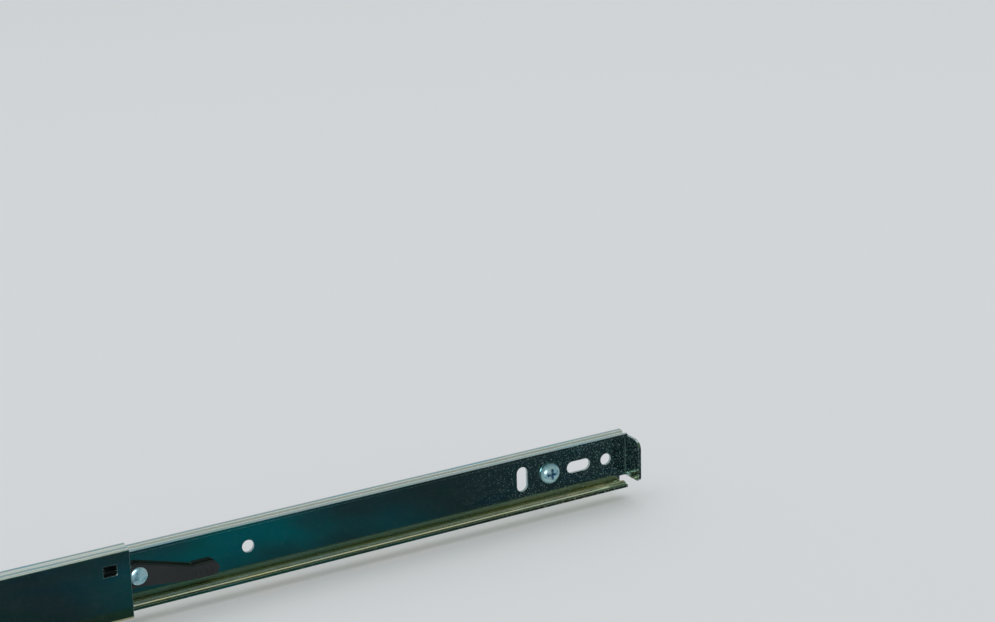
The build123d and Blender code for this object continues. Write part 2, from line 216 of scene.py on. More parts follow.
class SlideFinishes(bpy.types.PropertyGroup):
    """Colours and gloss of the finishes."""

    zinc: colour("Zinc", "Bright zinc plating", (0.38, 0.46, 0.47))
    zinc_blue: colour("Blue film", "Where the plating's film is thin", (0.20, 0.42, 0.52))
    zinc_green: colour("Green film", "Where the plating's film is thicker", (0.26, 0.48, 0.41))
    zinc_straw: colour("Straw film", "Where the plating's film is thickest", (0.50, 0.48, 0.24))
    dust: colour("Dust", "Fine dust in the lower flanges", (0.32, 0.48, 0.40))
    sand: colour("Sand", "Coarser dust near the front", (0.70, 0.60, 0.32))
    # Painted glint: stray grains take this pale green so that they stand in for sparkles of light
    painted_glint: colour("Glint", "Stray grains in the plating", (0.28, 0.62, 0.50))
    # Painted highlight as well as burnished plating: edges and ball tracks take this pale zinc
    pale_zinc_and_sheen: colour("Rubbed edge", "Plating burnished along edges and ball tracks", (0.66, 0.70, 0.66))
    zinc_gloss: share("Zinc roughness", "Mean roughness of the plating", 0.07)
    hardware: colour("Hardware zinc", "Blue zinc of the screw and the rivet", (0.55, 0.90, 1.00))
    # Painted shade: this dark blue goes where ambient occlusion finds the screw's recess and other hollows
    recess: colour("Recess film", "Darker film in the screw's recess", (0.05, 0.26, 0.42))
    ball: colour("Ball steel", "Polished ball steel", (0.66, 0.66, 0.67))
    strip: colour("Cage steel", "Plain steel strip of the inner cage", (0.46, 0.47, 0.47))
    natural: colour("Natural plastic", "Moulded strips of the outer cage", (0.72, 0.71, 0.66))
    black: colour("Black plastic", "Moulded lever and bumpers", (0.020, 0.020, 0.022))


class SlideStudio(bpy.types.PropertyGroup):
    """Floor, light and camera."""

    floor: colour("Floor", "Plain pale floor", (0.93, 0.935, 0.94))
    card_low: colour("Low card", "Dark card that lies before the slide", (0.034, 0.051, 0.057))
    card_high: colour("High card", "Dim card that stands on the wall side", (0.19, 0.24, 0.14))
    card_patch: colour("Card patches", "Patches on both cards", (0.005, 0.170, 0.195))
    sky: colour("Sky", "Light from all round", (0.95, 0.98, 1.0))
    sky_strength: number("Sky strength", "Strength of the light all round", 0.62)
    softbox_power: number("Softbox", "Power of the lamp overhead", 10.0, unit="POWER")
    card_glow: number("White card", "Brightness of the card that the screw mirrors", 16.0)
    azimuth: camera_angle("Azimuth", "Camera's turn", -30.281)
    elevation: camera_angle("Elevation", "Camera's height angle", 17.345)
    roll: camera_angle("Roll", "Camera's tilt", -1.449)
    lens: number("Lens", "Focal length in millimetres", 82.59)
    place: FloatVectorProperty(
        name="Camera place",
        description="Where the camera stands",
        default=(-66.5 * MM, -766.4 * MM, 358.3 * MM),
        subtype="TRANSLATION",
        unit="LENGTH",
    )


# Node trees


def node(tree, kind, inputs=None, **settings):
    """Adds a node. An input takes a value or another node's socket."""
    made = tree.nodes.new(kind)
    for name, value in settings.items():
        setattr(made, name, value)
    for name, value in (inputs or {}).items():
        if isinstance(value, bpy.types.NodeSocket):
            tree.links.new(value, made.inputs[name])
        else:
            made.inputs[name].default_value = value
    return made


def new_finish(name, metallic, roughness):
    """A material with its shader, its node tree and the piece's own coordinates."""
    material = bpy.data.materials.new(name)
    material.use_nodes = True
    tree = material.node_tree
    shader = tree.nodes["Principled BSDF"]
    shader.inputs["Metallic"].default_value = metallic
    shader.inputs["Roughness"].default_value = roughness
    coords = node(tree, "ShaderNodeTexCoord").outputs["Object"]
    return material, tree, shader, coords


def noise(tree, coords, scale, stretch=(1, 1, 1), **inputs):
    """Noise of this many features a metre, drawn out along an axis where the stretch is small."""
    mapped = node(tree, "ShaderNodeMapping", {"Vector": coords, "Scale": stretch})
    values = {"Vector": mapped.outputs["Vector"], "Scale": scale, **inputs}
    return node(tree, "ShaderNodeTexNoise", values).outputs["Fac"]


def ramp(tree, value, stops):
    """Colours at places along a value."""
    made = node(tree, "ShaderNodeValToRGB", {"Fac": value})
    points = made.color_ramp.elements
    while len(points) < len(stops):
        points.new(0.5)
    for point, (place, tone) in zip(points, stops):
        point.position = place
        point.color = tone
    return made.outputs["Color"]


def span(tree, value, low, high, out_low, out_high):
    """Stretches a value from one span to another."""
    inputs = {"Value": value, "From Min": low, "From Max": high, "To Min": out_low, "To Max": out_high}
    return node(tree, "ShaderNodeMapRange", inputs).outputs["Result"]


def mixed(tree, factor, first, second):
    """One colour going over into another."""
    made = node(tree, "ShaderNodeMix", data_type="RGBA")
    for name, value in (("Factor_Float", factor), ("A_Color", first), ("B_Color", second)):
        socket = next(s for s in made.inputs if s.identifier == name)
        if isinstance(value, bpy.types.NodeSocket):
            tree.links.new(value, socket)
        else:
            socket.default_value = value
    return next(s for s in made.outputs if s.identifier == "Result_Color")


def times(tree, first, second):
    """One mask inside another."""
    return node(tree, "ShaderNodeMath", {0: first, 1: second}, operation="MULTIPLY").outputs["Value"]


def raised(tree, value, mask, amount):
    """A value that grows by an amount where the mask is."""
    inputs = {0: mask, 1: amount, 2: value}
    return node(tree, "ShaderNodeMath", inputs, operation="MULTIPLY_ADD").outputs["Value"]


def agreement(tree, first, second):
    """How nearly two directions agree."""
    inputs = {0: first, 1: second}
    return node(tree, "ShaderNodeVectorMath", inputs, operation="DOT_PRODUCT").outputs["Value"]


def face_normal(tree):
    """The way that a face looks."""
    return node(tree, "ShaderNodeNewGeometry").outputs["Normal"]


def along_axis(tree, coords, axis):
    """A point's place along an axis."""
    return node(tree, "ShaderNodeSeparateXYZ", {"Vector": coords}).outputs[axis]


def relief(tree, heights):
    """Stacks bumps, each a height with its depth in metres, and gives the normal."""
    normal = None
    for height, depth in heights:
        inputs = {"Height": height, "Strength": 1.0, "Distance": depth}
        if normal:
            inputs["Normal"] = normal
        normal = node(tree, "ShaderNodeBump", inputs).outputs["Normal"]
    return normal


def edge_mask(tree, width):
    """One along edges and nothing on open faces."""
    rounded = node(tree, "ShaderNodeBevel", {"Radius": width}, samples=4).outputs["Normal"]
    return span(tree, agreement(tree, rounded, face_normal(tree)), 0.995, 0.88, 0.0, 1.0)


def scratch_mask(tree, coords, turn):
    """Sparse fine scratches that run near the slide's length."""
    drawn_out = {"Vector": coords, "Scale": (22, 420, 420), "Rotation": (0, turn, turn)}
    mapped = node(tree, "ShaderNodeMapping", drawn_out).outputs["Vector"]
    values = {"Vector": mapped, "Scale": 1.0}
    cells = node(tree, "ShaderNodeTexVoronoi", values, feature="DISTANCE_TO_EDGE")
    lines = span(tree, cells.outputs["Distance"], 0.012, 0.0, 0.0, 1.0)
    return times(tree, lines, span(tree, noise(tree, coords, 55.0), 0.50, 0.62, 0.0, 1.0))


# Finishes


def film_tint(tree, coords, finishes):
    """The plating's colour: blue to green with the film's thickness, and straw low down."""
    film = noise(tree, coords, 34.0, stretch=(1, 2.0, 2.0), Detail=3.0, Distortion=0.5)
    stops = (
        (0.28, finishes.zinc_blue),
        (0.44, finishes.zinc),
        (0.56, finishes.zinc),
        (0.72, finishes.zinc_green),
    )
    mottle = noise(tree, coords, 620.0, stretch=(0.6, 1, 1), Detail=2.0)
    green = span(tree, mottle, 0.42, 0.66, 0.0, 0.55)
    tint = mixed(tree, green, ramp(tree, film, stops), finishes.zinc_green)
    low = span(tree, along_axis(tree, coords, "Z"), *STRAW_HEIGHTS, 0.0, 1.0)
    drift = noise(tree, coords, 45.0, stretch=(1, 4, 4), Detail=2.0)
    straw = times(tree, low, span(tree, drift, 0.3, 0.7, 0.35, 1.0))
    return mixed(tree, straw, tint, finishes.zinc_straw)


def dust_mask(tree, coords):
    """Dust on faces that look up, at the root of the lower flanges."""
    trough = span(tree, agreement(tree, face_normal(tree), DUST_SIDE), 0.68, 0.95, 0.0, 0.9)
    root = span(tree, along_axis(tree, coords, "Y"), *DUST_DEPTHS, 0.2, 1.0)
    deep = span(tree, along_axis(tree, coords, "Z"), *DUST_HEIGHTS, 0.0, 1.0)
    return times(tree, deep, times(tree, trough, root))


def glint_grain_mask(tree, coords):
    """Stray grains painted as bright glints, more of them near the front."""
    strewn = span(tree, along_axis(tree, coords, "X"), *GLINT_GRAIN_REACH, 0.05, 0.44)
    grit = noise(tree, coords, 1500.0, Detail=2.0)
    return times(tree, strewn, span(tree, grit, 0.56, 0.68, 0.0, 1.0))


def track_sheen_mask(tree, coords):
    """The side of the upper flanges that is dulled by use, which faces up and towards the wall and also
    gets a painted highlight where it would mirror the dark card.
    """
    high = span(tree, along_axis(tree, coords, "Z"), *SHEEN_TRACK_HEIGHTS, 0.0, 1.0)
    side = agreement(tree, face_normal(tree), SHEEN_TRACK_SIDE)
    return times(tree, high, span(tree, side, 0.88, 0.96, 0.0, 1.0))


def zinc_plating(finishes):
    """Bright zinc: a drifting film, rolling lines, plating grain, rubbed edges and tracks with painted
    highlights, stray grains painted as glints, and dust.
    """
    material, tree, shader, coords = new_finish("bright_zinc", metallic=1.0, roughness=finishes.zinc_gloss)
    dusty = dust_mask(tree, coords)
    glint_grains = glint_grain_mask(tree, coords)
    track_sheen = track_sheen_mask(tree, coords)
    worn = edge_mask(tree, ZINC_WEAR_AND_SHEEN)
    specks = span(tree, noise(tree, coords, 1300.0, Detail=2.0), 0.36, 0.62, 0.3, 1.0)
    settled = times(tree, dusty, specks)
    sandy = span(tree, along_axis(tree, coords, "X"), *SAND_REACH, 0.0, 1.0)
    # Painted highlight: the track side of the upper flanges' grooves is painted pale zinc
    tint = mixed(tree, track_sheen, film_tint(tree, coords, finishes), finishes.pale_zinc_and_sheen)
    # Painted glints: stray grains in the plating, coloured as bright specks
    tint = mixed(tree, glint_grains, tint, finishes.painted_glint)
    tint = mixed(tree, settled, tint, mixed(tree, sandy, finishes.dust, finishes.sand))
    # Rubbed plating and painted highlight: the band along edges takes the pale zinc
    tree.links.new(mixed(tree, worn, tint, finishes.pale_zinc_and_sheen), shader.inputs["Base Color"])
    cover = node(tree, "ShaderNodeMath", {0: settled, 1: glint_grains}, operation="MAXIMUM")
    bare = span(tree, cover.outputs["Value"], 0.0, 1.0, 1.0, 0.0)
    tree.links.new(bare, shader.inputs["Metallic"])
    lines = noise(tree, coords, 1.0, stretch=(14, 1600, 1600), Detail=3.0)
    grain = noise(tree, coords, 1900.0, Detail=2.0)
    scratches = scratch_mask(tree, coords, 0.03)
    rough = span(tree, lines, 0.3, 0.7, finishes.zinc_gloss - 0.02, finishes.zinc_gloss + 0.04)
    for mask, dulling in ((scratches, 0.18), (worn, 0.25), (dusty, 0.34), (track_sheen, 0.45)):
        rough = raised(tree, rough, mask, dulling)
    tree.links.new(rough, shader.inputs["Roughness"])
    normal = relief(tree, ((lines, 0.0008 * MM), (grain, 0.0012 * MM), (scratches, -0.002 * MM)))
    tree.links.new(normal, shader.inputs["Normal"])
    return material


def hardware_zinc(finishes):
    """Bluish zinc of small turned parts, with painted shade in their hollows."""
    material, tree, shader, coords = new_finish("blue_zinc", metallic=0.4, roughness=0.24)
    film = noise(tree, coords, 320.0, Detail=3.0)
    stops = ((0.32, finishes.zinc_blue), (0.50, finishes.hardware), (0.92, finishes.pale_zinc_and_sheen))
    tint = ramp(tree, film, stops)
    # Painted shade: where ambient occlusion finds a hollow, the recess's dark blue goes in
    painted_recess_shade = node(tree, "ShaderNodeAmbientOcclusion", {"Distance": 2.0 * MM}, samples=8).outputs["AO"]
    tint = mixed(tree, span(tree, painted_recess_shade, 0.75, 0.35, 0.0, 1.0), tint, finishes.recess)
    # Edges of the screw and rivet take the pale zinc: rubbed plating and painted highlight
    worn = edge_mask(tree, HARDWARE_WEAR)
    tree.links.new(mixed(tree, worn, tint, finishes.pale_zinc_and_sheen), shader.inputs["Base Color"])
    grain = noise(tree, coords, 3200.0, Detail=3.0)
    tree.links.new(span(tree, grain, 0.3, 0.7, 0.18, 0.32), shader.inputs["Roughness"])
    tree.links.new(relief(tree, ((grain, 0.004 * MM),)), shader.inputs["Normal"])
    return material


def cage_strip(finishes):
    """Plain cold-rolled strip with lines along its length and a film of oil."""
    material, tree, shader, coords = new_finish("oiled_strip", metallic=1.0, roughness=0.3)
    oil = noise(tree, coords, 60.0, Detail=4.0, Distortion=0.8)
    dark = [0.72 * part for part in finishes.strip[:3]] + [1.0]
    base = mixed(tree, span(tree, oil, 0.4, 0.65, 0.0, 1.0), finishes.strip, dark)
    tree.links.new(base, shader.inputs["Base Color"])
    lines = noise(tree, coords, 1.0, stretch=(20, 2200, 2200), Detail=2.0)
    tree.links.new(span(tree, lines, 0.3, 0.7, 0.22, 0.40), shader.inputs["Roughness"])
    tree.links.new(relief(tree, ((lines, 0.003 * MM),)), shader.inputs["Normal"])
    return material


def ball_polish(finishes):
    """Ground and polished balls with a trace of grease."""
    material, tree, shader, coords = new_finish("polished_balls", metallic=1.0, roughness=0.08)
    grease = noise(tree, coords, 700.0, Detail=3.0)
    warm = [finishes.ball[0], 0.95 * finishes.ball[1], 0.84 * finishes.ball[2], 1.0]
    base = mixed(tree, span(tree, grease, 0.5, 0.7, 0.0, 1.0), finishes.ball, warm)
    tree.links.new(base, shader.inputs["Base Color"])
    tree.links.new(span(tree, grease, 0.4, 0.7, 0.05, 0.2), shader.inputs["Roughness"])
    return material


def moulded(name, tone, roughness, grain_depth):
    """Injection-moulded plastic: fine spark-eroded grain and a slow drift in tone."""
    material, tree, shader, coords = new_finish(name, metallic=0.0, roughness=roughness)
    drift = noise(tree, coords, 90.0, Detail=3.0)
    light = [min(1.0, 1.25 * part + 0.004) for part in tone[:3]] + [1.0]
    base = mixed(tree, span(tree, drift, 0.35, 0.7, 0.0, 1.0), tone, light)
    worn = edge_mask(tree, MOULDED_WEAR)
    pale = [min(1.0, 1.5 * part + 0.02) for part in tone[:3]] + [1.0]
    tree.links.new(mixed(tree, worn, base, pale), shader.inputs["Base Color"])
    grain = noise(tree, coords, 5200.0, Detail=2.0)
    gloss = span(tree, grain, 0.3, 0.7, roughness - 0.08, roughness + 0.1)
    tree.links.new(gloss, shader.inputs["Roughness"])
    tree.links.new(relief(tree, ((grain, grain_depth),)), shader.inputs["Normal"])
    return material


def made_once(name, maker, *arguments):
    """The material of this name, made the first time that it is asked for."""
    return bpy.data.materials.get(name) or maker(*arguments)


# Meshes


def shading_group():
    """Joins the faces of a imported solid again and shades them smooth, apart from true edges."""
    name = "joined_faces"
    if name in bpy.data.node_groups:
        return bpy.data.node_groups[name]
    group = bpy.data.node_groups.new(name, "GeometryNodeTree")
    group.interface.new_socket("Geometry", in_out="INPUT", socket_type="NodeSocketGeometry")
    group.interface.new_socket("Geometry", in_out="OUTPUT", socket_type="NodeSocketGeometry")
    shape = node(group, "NodeGroupInput").outputs[0]
    inputs = {"Geometry": shape, "Name": "custom_normal"}
    plain = node(group, "GeometryNodeRemoveAttribute", inputs).outputs["Geometry"]
    inputs = {"Geometry": plain, "Distance": WELD}
    joined = node(group, "GeometryNodeMergeByDistance", inputs).outputs["Geometry"]
    angle = node(group, "GeometryNodeInputMeshEdgeAngle").outputs["Unsigned Angle"]
    inputs = {0: angle, 1: math.radians(SMOOTH_ANGLE)}
    gentle = node(group, "FunctionNodeCompare", inputs, operation="LESS_THAN").outputs["Result"]
    inputs = {"Geometry": joined, "Shade Smooth": True}
    faces = node(group, "GeometryNodeSetShadeSmooth", inputs, domain="FACE").outputs["Geometry"]
    inputs = {"Geometry": faces, "Shade Smooth": gentle}
    edges = node(group, "GeometryNodeSetShadeSmooth", inputs, domain="EDGE").outputs["Geometry"]
    node(group, "NodeGroupOutput", {0: edges})
    return group


def break_edges(piece, width, segments):
    """Rounds a piece's sharp edges by a small width."""
    flat = piece.modifiers.new("flat_faces", "DECIMATE")
    flat.decimate_type = "DISSOLVE"
    flat.angle_limit = math.radians(FLAT_ANGLE)
    bevel = piece.modifiers.new("broken_edges", "BEVEL")
    bevel.width = width
    bevel.segments = segments
    bevel.limit_method = "ANGLE"
    bevel.angle_limit = math.radians(BREAK_ANGLE)
    bevel.use_clamp_overlap = True
    normals = piece.modifiers.new("flat_shading", "WEIGHTED_NORMAL")
    normals.mode = "FACE_AREA"
    normals.weight = 100
    normals.keep_sharp = True


def dress_node(name, material, edge):
    """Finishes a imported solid: smooth faces, broken edges and its material."""
    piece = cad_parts[name]
    joined = piece.modifiers.new("joined_faces", "NODES")
    joined.node_group = shading_group()
    break_edges(piece, edge, segments=3)
    piece.material_slots[0].material = material


def mesh_piece(name, shape, material):
    """A new piece from a bmesh, shaded smooth apart from true edges."""
    bmesh.ops.recalc_face_normals(shape, faces=shape.faces)
    mesh = bpy.data.meshes.new(name)
    shape.to_mesh(mesh)
    shape.free()
    mesh.shade_smooth()
    mesh.set_sharp_from_angle(angle=math.radians(SMOOTH_ANGLE))
    mesh.materials.append(material)
    piece = bpy.data.objects.new(name, mesh)
    bpy.context.scene.collection.objects.link(piece)
    return piece


def stands_for(piece, body, slot, *nodes):
    """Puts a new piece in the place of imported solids."""
    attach(piece, body)
    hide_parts(*nodes)


def combine(piece, tool, operation):
    """Cuts a tool out of a piece or joins it on, and deletes the tool."""
    for part in (piece, tool):
        part.data.transform(Matrix.Scale(1 / MM, 4))
    change = piece.modifiers.new(operation.lower(), "BOOLEAN")
    change.operation = operation
    change.solver = "EXACT"
    change.object = tool
    graph = bpy.context.evaluated_depsgraph_get()
    result = bpy.data.meshes.new_from_object(piece.evaluated_get(graph))
    if not result.polygons:
        raise RuntimeError(f"{piece.name} is empty after {operation.lower()}")
    piece.modifiers.remove(change)
    piece.data = result
    result.transform(Matrix.Scale(MM, 4))
    result.shade_smooth()
    result.set_sharp_from_angle(angle=math.radians(SMOOTH_ANGLE))
    bpy.data.objects.remove(tool)


def round_axis(axis, radius, angle, y):
    """A point at a radius and an angle round a line along Y."""
    return (axis.x + radius * math.cos(angle), y, axis.z + radius * math.sin(angle))


def turned(shape, profile, axis, steps):
    """A turned form about a line along Y, from radius and Y pairs."""
    rings = []
    for radius, y in profile:
        points = steps if radius else 1
        angles = [FULL_TURN * i / points for i in range(points)]
        rings.append([shape.verts.new(round_axis(axis, radius, angle, y)) for angle in angles])
    for near, far in zip(rings, rings[1:]):
        for i in range(steps):
            j = i + 1
            corners = (near[i % len(near)], near[j % len(near)], far[j % len(far)], far[i % len(far)])
            shape.faces.new(dict.fromkeys(corners))


def prism(shape, outline, along):
    """A straight form from an outline of points."""
    near = [shape.verts.new(point) for point in outline]
    far = [shape.verts.new(point + along) for point in outline]
    shape.faces.new(near)
    shape.faces.new(far[::-1])
    for i in range(len(near)):
        j = (i + 1) % len(near)
        shape.faces.new((near[i], far[i], far[j], near[j]))


def arc(centre, radius, start, end, steps):
    """Points of an arc in a plane, with angles in degrees."""
    angles = [math.radians(start + (end - start) * i / steps) for i in range(steps + 1)]
    return [(centre[0] + radius * math.cos(t), centre[1] + radius * math.sin(t)) for t in angles]


def row_centres(row, sizes):
    """Ball centres of a row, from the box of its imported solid."""
    low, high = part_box(row)
    middle = (low + high) / 2
    reach = (high.y - low.y) / 2
    first = low.x + reach
    pitch = (high.x - low.x - 2 * reach) / (sizes.ball_count - 1)
    return [Vector((first + i * pitch, middle.y, middle.z)) for i in range(sizes.ball_count)]


def screw_head(sizes, axis, material):
    """Domed pan head with a straight rim."""
    radius = (SCREW_HIGH.x - SCREW_LOW.x) / 2
    seat = SCREW_LOW.y + sizes.head_height
    crown = sizes.head_height - sizes.rim_height
    profile = []
    for i in range(SCREW_DOME_STEPS + 1):
        across = math.sin(math.pi / 2 * i / SCREW_DOME_STEPS)
        rise = (1 - across**2) ** 0.5
        profile.append((radius * across, seat - sizes.rim_height - crown * rise))
    profile += [(radius, seat - sizes.rim_break), (radius - sizes.rim_break, seat), (0, seat)]
    shape = bmesh.new()
    turned(shape, profile, axis, SCREW_STEPS)
    return mesh_piece("pan_head_screw", shape, material)


def screw_shank(sizes, axis, material):
    """Threaded shank with a tapered point."""
    pitch = sizes.thread_pitch
    core, crest = sizes.core_diameter / 2, sizes.shank_diameter / 2
    sunk, tip_radius, taper_power = 0.3 * MM, 0.01 * MM, 0.75
    start = SCREW_LOW.y + sizes.head_height - sunk
    tip = SCREW_HIGH.y
    # Points of the ridge: the share of a turn and the radius
    ridge = ((0.0, core), (0.52, core), (0.70, crest), (0.78, crest))
    turns = math.ceil((tip - start) / pitch) + 1
    shape = bmesh.new()
    rows = []
    for s in range(turns * THREAD_STEPS + 1):
        angle = FULL_TURN * s / THREAD_STEPS
        row = []
        for place, radius in ridge:
            y = start + pitch * (s / THREAD_STEPS - 1 + place)
            fade = min(1.0, max(0.0, (y - start) / pitch - 1))
            radius = core + (radius - core) * fade
            y = min(tip, max(start, y))
            taper = min(1.0, (tip - y) / sizes.screw_point) ** taper_power
            radius = max(radius * taper, tip_radius)
            row.append(shape.verts.new(round_axis(axis, radius, angle, y)))
        rows.append(row)
    for s in range(len(rows) - 1):
        near, far = rows[s], rows[s + 1]
        for m in range(len(ridge) - 1):
            shape.faces.new((near[m], far[m], far[m + 1], near[m + 1]))
        after = s + THREAD_STEPS
        if after + 1 < len(rows):
            shape.faces.new((near[-1], far[-1], rows[after + 1][0], rows[after][0]))
    bmesh.ops.remove_doubles(shape, verts=shape.verts, dist=WELD / 2)
    bmesh.ops.dissolve_degenerate(shape, edges=shape.edges, dist=WELD / 2)
    bmesh.ops.holes_fill(shape, edges=[e for e in shape.edges if e.is_boundary], sides=0)
    return mesh_piece("screw_shank", shape, material)


def cross_cutter(sizes, axis, material):
    """Tapered cross that cuts the driver recess."""
    shape = bmesh.new()
    rings = []
    overshoot = 0.2 * MM
    # Each end of the taper: its Y, and its shares of the recess's length and width
    mouth = (SCREW_LOW.y - overshoot, 1.06, 1.05)
    bottom = (SCREW_LOW.y + sizes.recess_depth, 0.5, 0.7)
    for y, long_share, wide_share in (mouth, bottom):
        far = sizes.recess_length / 2 * long_share
        near = sizes.recess_width / 2 * wide_share
        arm = ((near, near), (near, far), (-near, far))
        ring = []
        for quarter in range(4):
            turn = quarter * FULL_TURN / 4
            c, s = round(math.cos(turn)), round(math.sin(turn))
            corners = [(axis.x + c * u - s * v, y, axis.z + s * u + c * v) for u, v in arm]
            ring += [shape.verts.new(corner) for corner in corners]
        rings.append(ring)
    outer, inner = rings
    shape.faces.new(outer)
    shape.faces.new(inner[::-1])
    for i in range(len(outer)):
        j = (i + 1) % len(outer)
        shape.faces.new((outer[i], inner[i], inner[j], outer[j]))
    return mesh_piece("cross_cutter", shape, material)


# Operators


class SLIDE_OT_rails(bpy.types.Operator):
    """Plates the three rolled rails and breaks their sheared edges"""

    bl_idname = "drawer_slide.rails"
    bl_label = "Plate the rails"

    def execute(self, context):
        zinc = made_once("bright_zinc", zinc_plating, context.scene.slide_finishes)
        for name in ZINC_RAILS:
            dress_node(name, zinc, context.scene.slide_sizes.sheared_edge)
        return {"FINISHED"}


class SLIDE_OT_mouldings(bpy.types.Operator):
    """Moulds the release lever and the two rear bumpers in black plastic"""

    bl_idname = "drawer_slide.mouldings"
    bl_label = "Mould the lever and bumpers"

    def execute(self, context):
        tone = context.scene.slide_finishes.black
        black = made_once("black_moulding", moulded, "black_moulding", tone, *BLACK_FACE)
        for name in MOULDINGS:
            dress_node(name, black, context.scene.slide_sizes.moulded_edge)
        return {"FINISHED"}


class SLIDE_OT_screw(bpy.types.Operator):
    """Turns the pan-head screw with its thread and cross recess"""

    bl_idname = "drawer_slide.screw"
    bl_label = "Turn the screw"

    def execute(self, context):
        sizes = context.scene.slide_sizes
        axis = (SCREW_LOW + SCREW_HIGH) / 2
        metal = made_once("blue_zinc", hardware_zinc, context.scene.slide_finishes)
        screw = screw_head(sizes, axis, metal)
        combine(screw, screw_shank(sizes, axis, metal), "UNION")
        combine(screw, cross_cutter(sizes, axis, metal), "DIFFERENCE")
        stands_for(screw, "drawer_rail", "zinc_hardware", "drawer_screw")
        return {"FINISHED"}


class SLIDE_OT_rivet(bpy.types.Operator):
    """Turns the lever's rivet with a domed head and a peened tail"""

    bl_idname = "drawer_slide.rivet"
    bl_label = "Turn the rivet"

    def execute(self, context):
        sizes = context.scene.slide_sizes
        axis = (RIVET_LOW + RIVET_HIGH) / 2
        radius = (RIVET_HIGH.x - RIVET_LOW.x) / 2
        under = RIVET_LOW.y + sizes.rivet_head
        shank, tail = sizes.rivet_shank / 2, RIVET_HIGH.y
        dimple_radius, dimple_y = 0.16 * radius, RIVET_LOW.y + sizes.rivet_dimple
        rim, crown, fullness = 0.1 * MM, 0.88 * sizes.rivet_head, 2.2
        profile = [(0, dimple_y), (dimple_radius, dimple_y)]
        for i in range(2, RIVET_DOME_STEPS + 1):
            across = math.sin(math.pi / 2 * i / RIVET_DOME_STEPS)
            rise = (1 - across**fullness) ** 0.5
            profile.append((radius * across, under - crown * rise - rim))
        edge, peen = sizes.rivet_break, sizes.rivet_peen
        profile += [(radius, under - edge), (radius - edge, under), (shank, under)]
        profile += [(shank, tail - peen), (shank - peen, tail), (0, tail)]
        shape = bmesh.new()
        turned(shape, profile, axis, RIVET_STEPS)
        metal = made_once("blue_zinc", hardware_zinc, context.scene.slide_finishes)
        rivet = mesh_piece("lever_pivot_rivet", shape, metal)
        stands_for(rivet, "drawer_rail", "zinc_hardware", "lever_rivet")
        return {"FINISHED"}


class SLIDE_OT_balls(bpy.types.Operator):
    """Sets the four rows of polished balls in their races"""

    bl_idname = "drawer_slide.balls"
    bl_label = "Set the balls"

    def execute(self, context):
        sizes = context.scene.slide_sizes
        steel = made_once("polished_balls", ball_polish, context.scene.slide_finishes)
        radius = sizes.ball_diameter / 2
        for rows, body in ((OUTER_ROWS, "outer_cage_body"), (INNER_ROWS, "inner_cage_body")):
            for row in rows:
                shape = bmesh.new()
                for centre in row_centres(row, sizes):
                    place = Matrix.Translation(centre)
                    bmesh.ops.create_icosphere(shape, subdivisions=BALL_STEPS, radius=radius, matrix=place)
                balls = mesh_piece(f"{row}_polished", shape, steel)
                stands_for(balls, body, "ball_steel", row)
        return {"FINISHED"}


